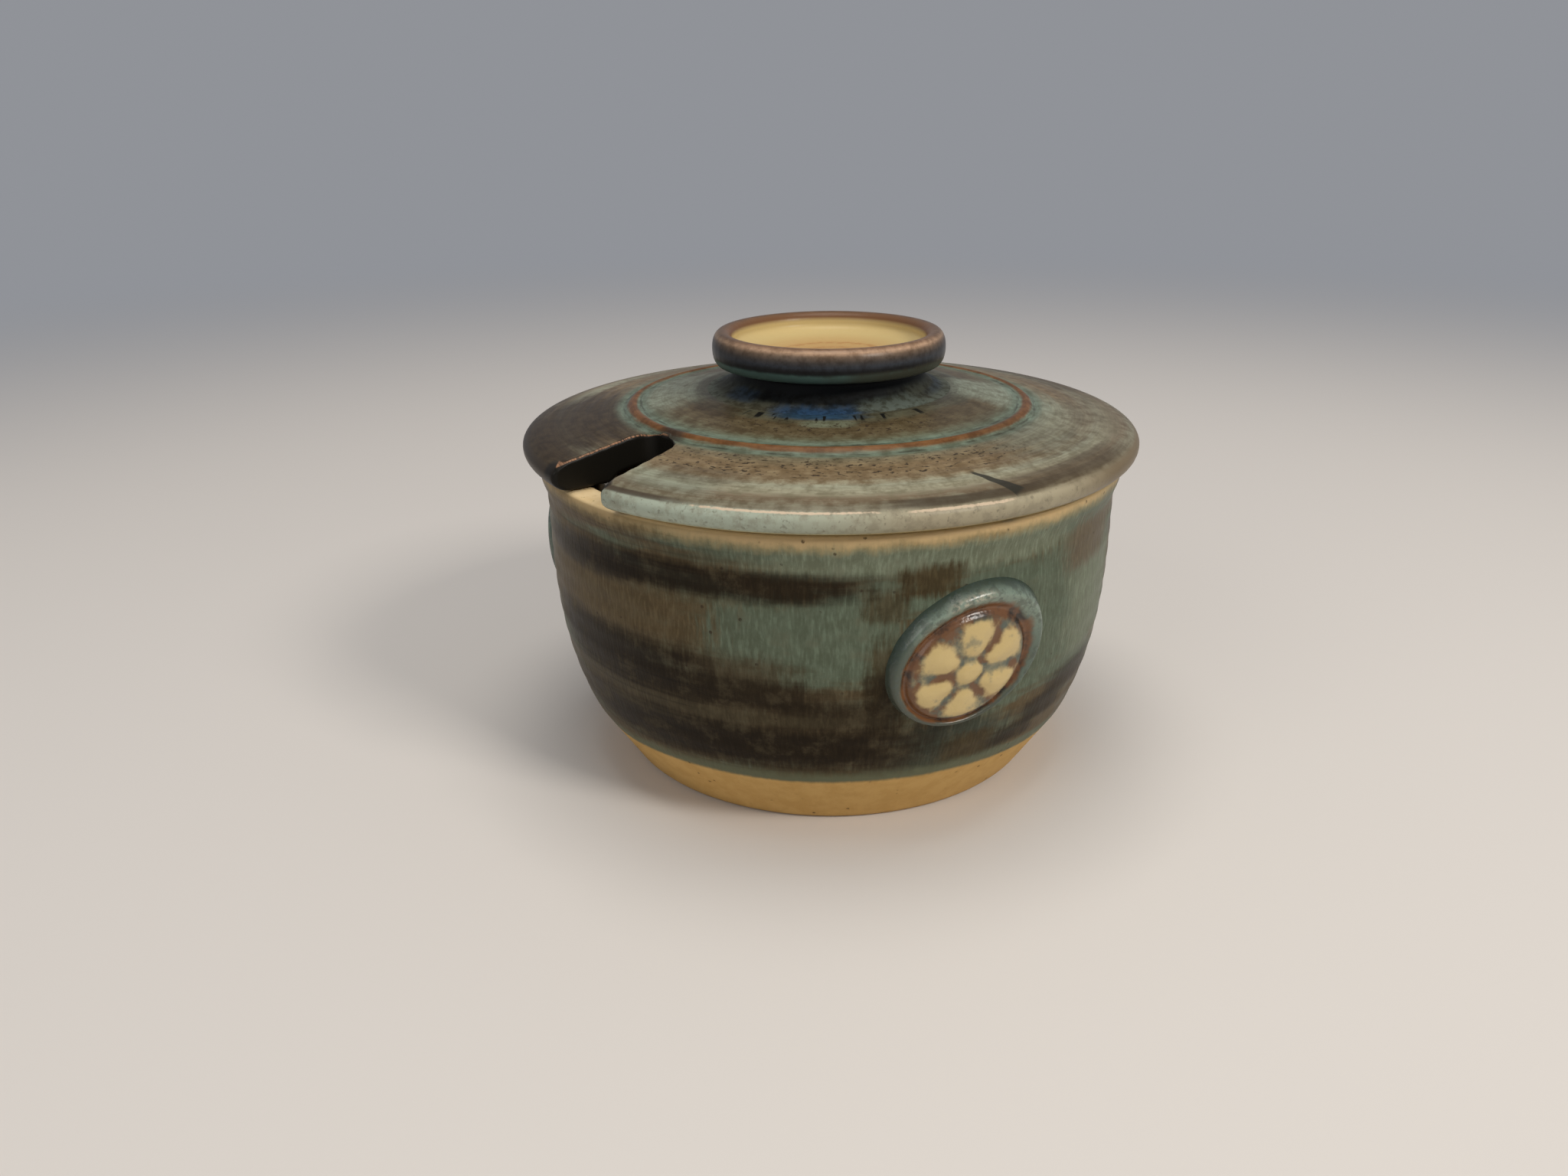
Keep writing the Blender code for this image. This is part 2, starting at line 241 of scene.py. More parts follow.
def tint(tree, mask, colour, factor):
    """Colour times a factor for each channel where the mask is 1."""
    return blend(tree, mask, colour, factor, "MULTIPLY")


def glazed(name, roughness, specular=0.5):
    """New material with a Principled shader, its node tree and that shader."""
    finish = bpy.data.materials.new(name)
    finish.use_nodes = True
    shader = finish.node_tree.nodes["Principled BSDF"]
    shader.inputs["Roughness"].default_value = roughness
    shader.inputs["IOR"].default_value = 1.5
    shader.inputs["Specular IOR Level"].default_value = specular
    return finish, finish.node_tree, shader


def bump(tree, shader, height, distance):
    """Lets a height stand out of the surface, by the distance in metres where it is 1."""
    node = add(tree, "ShaderNodeBump", {"Height": height, "Distance": distance, "Strength": 1.0})
    tree.links.new(node.outputs[0], shader.inputs["Normal"])


def new_group(name, inputs, outputs):
    """Empty shader node group with named sockets, and its input and output nodes."""
    group = bpy.data.node_groups.new(name, "ShaderNodeTree")
    for way, sockets in (("INPUT", inputs), ("OUTPUT", outputs)):
        for label, kind in sockets:
            group.interface.new_socket(label, in_out=way, socket_type="NodeSocket" + kind)
    return group, group.nodes.new("NodeGroupInput"), group.nodes.new("NodeGroupOutput")


# Places on a turned pot: distance from the axis and height in millimetres, and the direction round it.
turning, _, turning_out = new_group("turning_place", [], [
    ("Radius", "Float"), ("Height", "Float"), ("Around", "Vector"),
    ("Cos", "Float"), ("Sin", "Float")])
xyz = add(turning, "ShaderNodeSeparateXYZ", {0: own_place(turning)}).outputs
off_axis = calc(turning, "SQRT", calc(turning, "ADD", times(turning, xyz[0], xyz[0]),
                                      times(turning, xyz[1], xyz[1])))
divisor = calc(turning, "MAXIMUM", off_axis, 1e-6)
cosine, sine = calc(turning, "DIVIDE", xyz[0], divisor), calc(turning, "DIVIDE", xyz[1], divisor)
for label, value in (("Radius", times(turning, off_axis, 1 / MM)), ("Height", times(turning, xyz[2], 1 / MM)),
                     ("Around", vector(turning, cosine, sine, 0.0)), ("Cos", cosine), ("Sin", sine)):
    turning.links.new(value, turning_out.inputs[label])

# A brush stroke or a patch of glaze: 1 within its width in degrees and its height, with a ragged edge.
stroke, stroke_in, stroke_out = new_group("brush_stroke", [
    ("Around", "Vector"), ("Across", "Float"), ("Direction", "Vector"),
    ("Half Width", "Float"), ("Middle", "Float"), ("Half Height", "Float"),
    ("Ragged", "Float"), ("Softness", "Float")], [("Mask", "Float")])
s_in = stroke_in.outputs
turn = calc(stroke, "ARCCOSINE", dot(stroke, s_in["Around"], s_in["Direction"]))
wide = calc(stroke, "DIVIDE", times(stroke, turn, 180.0 / math.pi), s_in["Half Width"])
tall = calc(stroke, "DIVIDE", apart(stroke, s_in["Across"], s_in["Middle"]), s_in["Half Height"])
spread = calc(stroke, "SQRT", calc(stroke, "ADD", calc(stroke, "POWER", wide, 4.0),
                                   calc(stroke, "POWER", tall, 4.0)))
mask = ease(stroke, calc(stroke, "ADD", spread, s_in["Ragged"]), calc(stroke, "ADD", 1.0, s_in["Softness"]),
            calc(stroke, "SUBTRACT", 1.0, s_in["Softness"]))
stroke.links.new(mask, stroke_out.inputs["Mask"])


def heading(degrees):
    """Unit vector that many degrees round the axis from +X."""
    return (math.cos(math.radians(degrees)), math.sin(math.radians(degrees)), 0.0)


def strokes(tree, colour, around, across, ragged, over, softness, patches):
    """Lays patches (degrees from +X, half width, middle, half height, strength) of one colour on a colour."""
    for degrees, half_width, middle, half_height, strength in patches:
        node = add(tree, "ShaderNodeGroup", node_tree=stroke)
        for label, value in (("Around", around), ("Across", across), ("Ragged", ragged)):
            tree.links.new(value, node.inputs[label])
        for label, value in (("Direction", heading(degrees)), ("Half Width", half_width), ("Middle", middle),
                             ("Half Height", half_height), ("Softness", softness)):
            node.inputs[label].default_value = value
        colour = blend(tree, times(tree, node.outputs[0], strength), colour, over)
    return colour


def drawn(tree, spot, across, along, detail=3.0, way="Height"):
    """Noise of runs and brush marks: so many to the radian round, and so many to the millimetre along."""
    at = vector(tree, times(tree, spot["Cos"], across), times(tree, spot["Sin"], across),
                times(tree, spot[way], along))
    return noise(tree, at, 1.0, detail, 0.6)


def swing(tree, *parts):
    """Sum of noises, each taken from its middle of a half and multiplied by its own gain."""
    total = 0.0
    for value, gain in parts:
        total = calc(tree, "MULTIPLY_ADD", calc(tree, "SUBTRACT", value, 0.5), gain, total)
    return total


def towards(tree, around, degrees):
    """Cosine of the angle between a place on the pot and a direction round it, in degrees from +X."""
    return dot(tree, around, heading(degrees))


olive = (0.108, 0.077, 0.038)
umber = (0.070, 0.050, 0.026)
teal = (0.116, 0.144, 0.100)
pale_teal = (0.186, 0.212, 0.148)
deep_teal = (0.046, 0.056, 0.040)
green_fringe = (0.120, 0.128, 0.076)
iron = (0.0160, 0.0100, 0.0042)
thin_iron = (0.062, 0.049, 0.026)
rust = (0.062, 0.044, 0.019)
pale_rust = (0.130, 0.092, 0.055)
dusty_olive = (0.092, 0.074, 0.042)
rim_ochre = (0.480, 0.360, 0.175)
lightened_rim_tan = (0.560, 0.395, 0.205)
buff, deep_buff = (0.575, 0.362, 0.128), (0.520, 0.318, 0.104)
cream, deep_cream = (0.790, 0.615, 0.365), (0.710, 0.525, 0.275)
speck_brown = (0.030, 0.018, 0.010)

jar_glaze, tree, shader = glazed("running_glaze", 0.40, 0.10)
spot = add(tree, "ShaderNodeGroup", node_tree=turning).outputs
around, height = spot["Around"], spot["Height"]
runs = drawn(tree, spot, 72.0, 0.20)
hairs = drawn(tree, spot, 110.0, 0.42, 4.0)
swept = drawn(tree, spot, 4.0, 0.85)
bands = drawn(tree, spot, 1.7, 0.22)
lines = drawn(tree, spot, 1.3, 1.5, 2.0)
mottle = noise(tree, own_place(tree), 300.0, 5.0, 0.65)
brushed = swing(tree, (runs, 0.9), (swept, 0.7), (bands, 1.2), (mottle, 0.7))
combed = swing(tree, (runs, 2.2), (swept, 0.3), (bands, 1.2), (mottle, 0.8))
colour = blend(tree, ease(tree, calc(tree, "MULTIPLY_ADD", brushed, 0.10, bands), 0.40, 0.60), olive, teal)
for ragged, over, softness, patches in (
        (brushed, olive, 0.7, [(-94.0, 36.0, 39.5, 8.0, 0.95)]),
        (combed, teal, 0.5, [
            (-48.0, 17.0, 38.0, 6.6, 0.95), (8.0, 18.0, 37.5, 12.0, 0.95), (96.0, 40.0, 33.0, 8.0, 0.9),
            (168.0, 26.0, 37.0, 7.0, 0.9), (-140.0, 16.0, 36.0, 8.0, 0.8)]),
        (combed, pale_teal, 0.6, [(-27.0, 31.0, 51.2, 2.6, 0.9), (16.0, 10.0, 36.0, 8.0, 0.7)]),
        (combed, deep_teal, 0.5, [(-22.0, 15.0, 17.0, 5.0, 0.9)]),
        (brushed, umber, 0.75, [
            (-86.0, 28.0, 50.6, 2.8, 0.25), (-78.0, 32.0, 23.4, 10.0, 0.95), (-46.0, 16.0, 20.8, 8.4, 0.95),
            (-61.0, 11.0, 30.6, 4.4, 0.75), (-43.0, 10.0, 26.6, 3.4, 0.5), (150.0, 40.0, 50.5, 3.0, 0.8)]),
        (combed, rust, 0.75, [
            (-26.5, 6.2, 47.6, 2.6, 0.95), (-34.5, 4.2, 44.2, 2.6, 0.8), (-33.5, 4.2, 30.0, 7.5, 0.85),
            (-15.0, 6.5, 15.8, 3.0, 0.9), (104.0, 14.0, 48.0, 3.0, 0.8)]),
        (combed, pale_rust, 0.7, [(13.0, 9.0, 47.2, 3.8, 0.8)]),
        (brushed, iron, 0.8, [
            (-98.0, 16.0, 45.6, 2.3, 0.85), (-66.0, 30.0, 46.9, 2.5, 0.92), (-88.0, 23.0, 30.2, 5.0, 0.97),
            (-60.0, 13.0, 28.6, 3.0, 0.8), (-44.0, 9.0, 25.4, 2.4, 0.7), (-34.5, 3.4, 27.5, 5.4, 0.75),
            (-66.0, 37.0, 18.6, 4.2, 0.98), (-4.0, 6.0, 15.6, 2.0, 0.85), (4.0, 7.0, 18.8, 2.4, 0.85),
            (14.0, 10.0, 22.4, 2.8, 0.85), (150.0, 44.0, 46.5, 3.2, 0.9), (60.0, 30.0, 46.0, 2.8, 0.85),
            (80.0, 52.0, 18.0, 4.5, 0.95), (175.0, 40.0, 27.0, 5.0, 0.9), (-150.0, 34.0, 18.5, 4.0, 0.95)]),
        (brushed, thin_iron, 0.8, [(-70.0, 31.0, 24.1, 1.1, 0.75), (-84.0, 12.0, 21.6, 0.7, 0.4)])):
    colour = strokes(tree, colour, around, height, ragged, over, softness, patches)
colour = blend(tree, times(tree, ease(tree, mottle, 0.50, 0.68), 0.30), colour, dusty_olive)
veil = calc(tree, "ADD", times(tree, hairs, 0.45), times(tree, mottle, 0.55))
colour = tint(tree, ease(tree, veil, 0.60, 0.38), colour, (0.72, 0.70, 0.66))
colour = tint(tree, ease(tree, hairs, 0.50, 0.68), colour, (1.15, 1.17, 1.17))
off_teal = ease(tree, apart(tree, height, 38.0), 5.0, 9.0)
to_left = ease(tree, towards(tree, around, -105.0), 0.60, 0.88)
lined = times(tree, ease(tree, lines, 0.52, 0.38), off_teal, to_left, 0.75)
colour = tint(tree, lined, colour, (0.66, 0.64, 0.62))

rim_level, line_level = jar_rim / MM, glaze_line / MM
strip = calc(tree, "MULTIPLY_ADD", ease(tree, towards(tree, around, -28.0), 0.64, 0.92), 0.40, 0.40)
wavering = calc(tree, "ADD", height, calc(tree, "MULTIPLY_ADD", combed, 0.5, swing(tree, (mottle, 2.4))))
# Ochre and tan where the glaze thins over the rim. The tan band just under the lid is also painted lighter to
# offset the lid's shadow: painted light.
for depth, end, over in ((3.4, 0.6, rim_ochre), (2.0, 0.3, lightened_rim_tan)):
    near_rim = ease(tree, wavering, rim_level - depth, rim_level - end)
    colour = blend(tree, times(tree, near_rim, strip), colour, over)
sag = times(tree, ease(tree, towards(tree, around, -42.0), 0.95, 0.25), 2.8)
fringe = ease(tree, calc(tree, "ADD", wavering, sag), line_level + 3.2, line_level + 0.6)
colour = blend(tree, fringe, colour, green_fringe)
edge_line = calc(tree, "ADD", height, calc(tree, "MULTIPLY_ADD", brushed, 0.45, sag))
bare = ease(tree, edge_line, line_level + 0.5, line_level - 0.5)
colour = blend(tree, bare, colour, blend(tree, ease(tree, mottle, 0.35, 0.65), buff, deep_buff))
seat_or_inside = calc(tree, "MAXIMUM", attribute(tree, "inside"),
                      ease(tree, height, rim_level - 0.5, rim_level - 0.1))
colour = blend(tree, seat_or_inside, colour, blend(tree, ease(tree, mottle, 0.30, 0.70), cream, deep_cream))
specks = add(tree, "ShaderNodeTexVoronoi", {"Vector": own_place(tree), "Scale": 520.0}).outputs["Distance"]
speck_mask = times(tree, ease(tree, specks, 0.20, 0.10), ease(tree, mottle, 0.52, 0.62), 0.75)
colour = blend(tree, speck_mask, colour, speck_brown)
tree.links.new(colour, shader.inputs["Base Color"])
gloss = blend(tree, bare, blend(tree, ease(tree, mottle, 0.3, 0.7), (0.34,) * 3, (0.46,) * 3), (0.62,) * 3)
tree.links.new(gloss, shader.inputs["Roughness"])
bump(tree, shader, calc(tree, "MULTIPLY_ADD", mottle, 0.8, runs), 0.06 * MM)
jar_piece.data.materials.append(jar_glaze)
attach(jar_piece, "jar")
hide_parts("jar_body")

# Medallions: pads of clay stamped with a rosette, pressed oval on the wall before the pot was glazed.
# The glaze breaks cream on the raised petals, pools rust in the groove and teal over the rim.
# The rim is painted lighter on top, with a painted highlight, and painted darker on its lower left as shade.
pad_length = 14.3 * MM
pad_breadth = 11.5 * MM
pad_tilt = math.radians(26.0)
pad_height = 34.3 * MM
pad_face = 1.5 * MM
pad_rim = 0.8 * MM
pad_groove = 0.75 * MM
pad_sink = 0.35 * MM
pad_back = 0.9 * MM
pad_first = -18.6
pad_step = 115.8
pad_front_rows, pad_columns = 76, 180
stamp_shift = 2.6 * MM
stamp_turn = math.radians(-108.0)
stamp_relief = 0.7 * MM
lit_top_turn = math.radians(96.0)
shaded_side_turn = math.radians(212.0)


def pad_section(share, upper):
    """Height of the pad's face by distance from its middle: flat field, groove, rounded rim, soft edge.

    The rim is full where upper is 1 and fades out where it is 0."""
    rim = pad_rim * upper * np.exp(-((share - 0.92) / 0.060) ** 2)
    groove = -pad_groove * np.exp(-((share - 0.770) / 0.045) ** 2)
    edge = 1.0 - np.clip((share - 0.89) / 0.13, 0.0, 1.0) ** 2.2
    return (pad_face + rim + groove) * edge - pad_sink * (1 - edge)


def rosette(share, angle):
    """Relief of the stamp: a round boss with six petals, each highest along its middle."""
    boss = np.exp(-(share / 0.14) ** 4)
    along = np.exp(-((share - 0.45) / 0.20) ** 4)
    width = np.clip(0.50 + 0.50 * np.cos(6.0 * angle), 0, 1)
    return stamp_relief * np.maximum(boss, along * width ** 0.9)


petal_cream = (0.560, 0.420, 0.185)
field_rust, field_grey = (0.140, 0.064, 0.025), (0.085, 0.098, 0.076)
cloud_teal = (0.130, 0.150, 0.115)
groove_rust, groove_black = (0.170, 0.075, 0.030), (0.026, 0.020, 0.015)
rim_teal, lit_top_teal = (0.100, 0.130, 0.100), (0.205, 0.265, 0.208)
worn_olive = (0.062, 0.068, 0.050)
shaded_side_teal = (0.060, 0.080, 0.058)
outer_teal = (0.042, 0.060, 0.046)
faded_olive = (0.060, 0.066, 0.046)
fine_blue = (0.060, 0.085, 0.085)
painted_glint_cream = (0.560, 0.500, 0.380)

medallion_glaze, tree, shader = glazed("medallion_glaze", 0.24)
share_at, relief_at, upper_at, lit_top_at, shaded_side_at = (
    attribute(tree, label) for label in ("share", "relief", "upper", "lit_top", "shaded_side"))
spot = own_place(tree)
cloud = noise(tree, spot, 260.0, 4.0)
fine = noise(tree, spot, 1500.0, 3.0)
worn = noise(tree, spot, 620.0, 4.0)
lifted = calc(tree, "ADD", relief_at, swing(tree, (cloud, 0.7), (worn, 0.7)))
hollow = blend(tree, ease(tree, cloud, 0.42, 0.56), field_rust, field_grey)
colour = blend(tree, ease(tree, lifted, -0.02, 0.42), hollow, petal_cream)
colour = blend(tree, times(tree, ease(tree, cloud, 0.55, 0.70), 0.6), colour, cloud_teal)
ring_at = calc(tree, "ADD", share_at, swing(tree, (cloud, 0.10)))
groove_mask = times(tree, ease(tree, ring_at, 0.67, 0.73), ease(tree, ring_at, 0.85, 0.80))
groove_colour = blend(tree, ease(tree, cloud, 0.44, 0.62), groove_rust, groove_black)
colour = blend(tree, groove_mask, colour, groove_colour)
# Painted light: the rim is a lighter teal where it faces up.
rim_colour = blend(tree, ease(tree, lit_top_at, 0.40, 0.80), rim_teal, lit_top_teal)
rim_colour = blend(tree, times(tree, ease(tree, worn, 0.44, 0.60), 0.55), rim_colour, worn_olive)
# Painted shade: the rim is darker on its lower left, away from the light.
rim_colour = blend(tree, ease(tree, shaded_side_at, 0.55, 0.90), rim_colour, shaded_side_teal)
rim_colour = blend(tree, ease(tree, share_at, 0.92, 1.0), rim_colour, outer_teal)
rim_colour = blend(tree, ease(tree, upper_at, 0.50, 0.15), rim_colour, faded_olive)
rim_colour = blend(tree, times(tree, ease(tree, fine, 0.50, 0.70), 0.35), rim_colour, fine_blue)
colour = blend(tree, ease(tree, ring_at, 0.80, 0.87), colour, rim_colour)
# Painted highlight: a speckled pale glint on the top of the rim.
painted_glint = times(tree, ease(tree, lit_top_at, 0.95, 1.0), ease(tree, share_at, 0.86, 0.91),
              ease(tree, share_at, 0.97, 0.92), ease(tree, fine, 0.36, 0.66), 0.65)
colour = blend(tree, painted_glint, colour, painted_glint_cream)
tree.links.new(colour, shader.inputs["Base Color"])
bump(tree, shader, calc(tree, "MULTIPLY_ADD", fine, 0.5, cloud), 0.12 * MM)

pad_rows = np.concatenate([np.linspace(0, 1.02, pad_front_rows), np.linspace(0.98, 0.0, 6)])
pad_angle = np.linspace(0, 2 * np.pi, pad_columns, endpoint=False)
pad_share = np.repeat(pad_rows[:, None], pad_columns, axis=1)
pad_behind = (np.arange(len(pad_rows)) >= pad_front_rows)[:, None]
long_way = pad_length * pad_share * np.cos(pad_angle)
short_way = pad_breadth * pad_share * np.sin(pad_angle)
right = long_way * math.cos(pad_tilt) - short_way * math.sin(pad_tilt)
rise = long_way * math.sin(pad_tilt) + short_way * math.cos(pad_tilt)
clock = np.arctan2(rise, right)
upper = 0.55 - 0.45 * np.cos(clock - stamp_turn)
lit_top = 0.5 + 0.5 * np.cos(clock - lit_top_turn)
shaded_side = 0.5 + 0.5 * np.cos(clock - shaded_side_turn)
moved = stamp_shift * np.clip(1 - pad_share ** 4, 0, 1)
right, rise = right + moved * math.cos(stamp_turn), rise + moved * math.sin(stamp_turn)
stamp = np.where(pad_behind, 0.0, rosette(pad_share, pad_angle))
lift = np.where(pad_behind, -pad_back, pad_section(pad_share, upper) + stamp)
pad_z = pad_height + rise
for index, node in enumerate(("medallion_right", "medallion_back", "medallion_left")):
    turn_to = math.radians(pad_first + pad_step * index) + right / wall_radius(pad_height)
    radius = wall_radius(pad_z) + lift
    pad_grid = np.stack([radius * np.cos(turn_to), radius * np.sin(turn_to), pad_z], axis=-1)
    pad = closed_grid(node + "_stamp", pad_grid, {
        "share": pad_share, "relief": stamp / stamp_relief, "upper": upper, "lit_top": lit_top, "shaded_side": shaded_side})
    pad.data.materials.append(medallion_glaze)
    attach(pad, "jar")
    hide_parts(node)

# Lid: a disc thrown and turned with one raised ring, then a notch for a spoon cut in from the edge with
# a knife. The glaze was brushed on as it spun, so its olive, teal and brown lie in rings.
flange_depth = 5.0 * MM
lid_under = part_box("lid")[0].z + flange_depth
lid_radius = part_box("lid")[1].x
seat_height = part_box("lid")[1].z
seat_reach = 23.2 * MM
lid_wall = 5.2 * MM
edge_thick = 5.1 * MM
edge_reach = 5.0 * MM
edge_start = math.radians(72.0)
edge_turn = 2.6 * MM
shoulder = (edge_thick - edge_turn) / math.sin(edge_start)
notch_half = 5.65 * MM
notch_middle = 46.0 * MM
notch_taper = math.radians(5.6)
notch_shift = -0.4 * MM
notch_end = 36.9 * MM
end_round = 3.9 * MM
mouth_round = 1.0 * MM
cut_round = 0.9 * MM
cut_under = 0.7 * MM
ring_radius = 35.4 * MM
inner_reach = 35.4 * MM
end_spokes, round_spokes, under_rows = 6, 169, 29


def lid_top(radius):
    """Height of the lid's top: a flat seat, a straight slope, the raised turned ring and a round shoulder."""
    edge_in = lid_radius - edge_reach * (1 - math.cos(edge_start))
    slope = np.interp(radius, [0, seat_reach, edge_in], [seat_height, seat_height, lid_under + edge_thick])
    past = np.clip((radius - lid_radius) / edge_reach + 1, math.cos(edge_start), 1)
    fall = shoulder * (math.sin(edge_start) - np.sqrt(1 - past ** 2))
    ring = 0.45 * MM * np.exp(-((radius - ring_radius) / (0.75 * MM)) ** 2)
    groove = -0.30 * MM * np.exp(-((radius - ring_radius - 1.7 * MM) / (0.8 * MM)) ** 2)
    marks = 0.04 * MM * np.sin(radius / (0.42 * MM)) * (radius > 25 * MM)
    return slope - fall + ring + groove + marks


def lid_bottom(radius):
    """Height of the lid's underside: hollow in the middle, flat where it rests on the rim."""
    hollow_height = seat_height - lid_wall
    return np.interp(radius, [0, seat_reach, 43.2 * MM, 44.8 * MM, lid_radius],
                     [hollow_height, hollow_height, lid_under + 1.4 * MM, lid_under, lid_under])


def notch_angle(radius, side):
    """Angle from the notch's middle to one side: where the straight, opening side meets that radius.

    It is drawn in by an arc at the inner end and flared by an arc at the mouth."""
    start = notch_half + side * notch_shift
    along = start * math.sin(notch_taper) + notch_middle * math.cos(notch_taper)
    reach = np.sqrt(along ** 2 - start ** 2 - notch_middle ** 2 + radius ** 2) - along
    half = start + reach * math.sin(notch_taper)
    into = np.clip(radius - notch_end, 0, end_round)
    out = np.clip(radius - (lid_radius - mouth_round), 0, mouth_round)
    half = half - end_round + np.sqrt(end_round ** 2 - (end_round - into) ** 2)
    half = half + mouth_round - np.sqrt(mouth_round ** 2 - out ** 2)
    return np.arcsin(half / radius)


quarter = np.radians(np.linspace(0, 90, 12))
side_reach = np.concatenate([
    notch_end + end_round * (1 - np.cos(quarter)),
    np.linspace(notch_end + end_round, lid_radius - mouth_round, 22)[1:-1],
    lid_radius - mouth_round + mouth_round * np.sin(quarter)])
end_share = np.linspace(0, 1, end_spokes + 1)[:-1]
round_share = np.linspace(0, 1, round_spokes + 1)[1:]
reach = np.concatenate([np.full(end_spokes, notch_end), side_reach, np.full(round_spokes, lid_radius)])


def spoke_angle(radius, side):
    """Angle of each spoke, from the notch's middle, at a radius that may differ from spoke to spoke.

    A spoke to the notch's side slants in from the mouth and meets that side at 45 degrees. The others
    share out what is left of the turn evenly."""
    held = np.maximum(radius, notch_end)
    at_end = end_share * notch_angle(notch_end, side)
    slant = notch_angle(held, side) + np.maximum(reach - held, 0) / held
    corner = (notch_angle(held, side) + np.maximum(lid_radius - held, 0) / held)[-round_spokes:]
    return np.concatenate([at_end, slant[end_spokes:-round_spokes], corner + (np.pi - corner) * round_share])


# Rows of the lid from the middle of the top, over the edge, to the middle of the underside. A spoke's bull
# is 1 where it ends at the round edge and 0 where it ends at the notch, whose edges are only just rounded.
bull = np.clip((reach - (lid_radius - 3.0 * MM)) / (3.0 * MM), 0, 1) ** 2
start = math.pi / 2 + (edge_start - math.pi / 2) * bull
top_in, top_drop = cut_round + (edge_reach - cut_round) * bull, cut_round + (shoulder - cut_round) * bull
low_in, low_rise = cut_under + 2.7 * MM * bull, cut_under + 1.75 * MM * bull
top_end = reach - top_in * (1 - np.cos(start))
wall_top = lid_top(top_end) - top_drop * np.sin(start)
wall_low = lid_bottom(reach) + low_rise
plan = []


def lay(radius, height, broken=0.0, wall=0.0):
    """Adds a row: its radius and height, and how far it is on the breaking edge and on the wall."""
    plan.append([np.broadcast_to(part, reach.shape) for part in (radius, height, broken, wall)])


for radius in np.concatenate([np.linspace(0, 32 * MM, 34), np.linspace(32 * MM, inner_reach, 30)[1:]]):
    lay(radius, lid_top(radius))
for step in np.linspace(0, 1, 42)[1:-1]:
    row = inner_reach + (top_end - inner_reach) * step
    lay(row, lid_top(row))
for bend in np.linspace(1, 0, 13):
    lay(reach - top_in * (1 - np.cos(start * bend)), wall_top + top_drop * np.sin(start * bend),
        np.sin(2 * start * bend), (np.cos(start * bend) - np.cos(start)) / (1 - np.cos(start)))
for step in np.linspace(0, 1, 6)[1:-1]:
    lay(reach, wall_top + (wall_low - wall_top) * step, wall=1.0)
for bend in np.radians(np.linspace(0, 90, 10)):
    lay(reach - low_in * (1 - np.cos(bend)), wall_low - low_rise * np.sin(bend), wall=1.0)
for step in np.linspace(0, 1, under_rows + 1)[1:]:
    row = (reach - low_in) * (1 - step)
    lay(row, lid_bottom(row))
rows, heights, breaks, walls = np.array(plan).transpose(1, 0, 2)
lows = np.clip((wall_low - heights) / low_rise, 0, 1)
right_angles, left_angles = (np.array([spoke_angle(row, side) for row in rows]) for side in (1, -1))


def both_sides(right_half, left_half):
    """Joins the right half of the plan to the left, with one spoke each in the middle and at the back."""
    return np.concatenate([right_half, left_half[:, -2:0:-1]], axis=1)


plan_radius, plan_angle = both_sides(rows, rows), both_sides(right_angles, -left_angles)
lid_grid = np.stack([plan_radius * np.sin(plan_angle), -plan_radius * np.cos(plan_angle),
                     both_sides(heights, heights)], axis=-1)
below = (np.arange(len(rows)) >= len(rows) - under_rows)[:, None] * np.ones(rows.shape)
beside = np.broadcast_to(1 - bull ** 3, rows.shape)
lid_piece = closed_grid("lid_disc", lid_grid, {label: both_sides(values, values) for label, values in (
    ("break", breaks), ("wall", walls), ("low", lows), ("notch", beside), ("under", below))})


def ramped(tree, value, low, high, stops):
    """Colour read off a row of stops (value, colour) that lie between low and high."""
    share = calc(tree, "DIVIDE", calc(tree, "SUBTRACT", value, low), high - low)
    ramp = add(tree, "ShaderNodeValToRGB", {0: share})
    while len(ramp.color_ramp.elements) < len(stops):
        ramp.color_ramp.elements.new(0.5)
    for element, (at, tone) in zip(ramp.color_ramp.elements, stops):
        element.position = (at - low) / (high - low)
        element.color = (*tone, 1.0)
    return ramp.outputs[0]


brush_teal = (0.232, 0.260, 0.198)
brush_brown = (0.125, 0.094, 0.056)
brush_black = (0.041, 0.026, 0.012)
pooled_blue = (0.020, 0.052, 0.095)
pooled_teal = (0.150, 0.170, 0.115)
ring_teal, ring_rust, ring_dark = (0.130, 0.172, 0.128), (0.166, 0.062, 0.015), (0.040, 0.042, 0.028)
smear = (0.036, 0.026, 0.018)
fleck_brown = (0.040, 0.028, 0.016)
edge_shadow = (0.050, 0.036, 0.022)
edge_tan, edge_teal = (0.360, 0.315, 0.215), (0.385, 0.432, 0.346)
edge_dark, edge_brown = (0.042, 0.030, 0.019), (0.165, 0.125, 0.075)
pit_brown, blotch_olive = (0.100, 0.082, 0.056), (0.205, 0.180, 0.124)
ochre_sheen_line = (0.400, 0.320, 0.130)
edge_line_brown = (0.055, 0.038, 0.026)
tip_black = (0.012, 0.010, 0.008)
painted_edge_glint = (0.640, 0.500, 0.360)
scratch_black = (0.026, 0.024, 0.017)
cut_black = (0.009, 0.008, 0.006)
copper = (0.330, 0.172, 0.094)
drip_black = (0.008, 0.008, 0.007)
under_dark, under_buff = (0.060, 0.048, 0.032), (0.560, 0.390, 0.180)

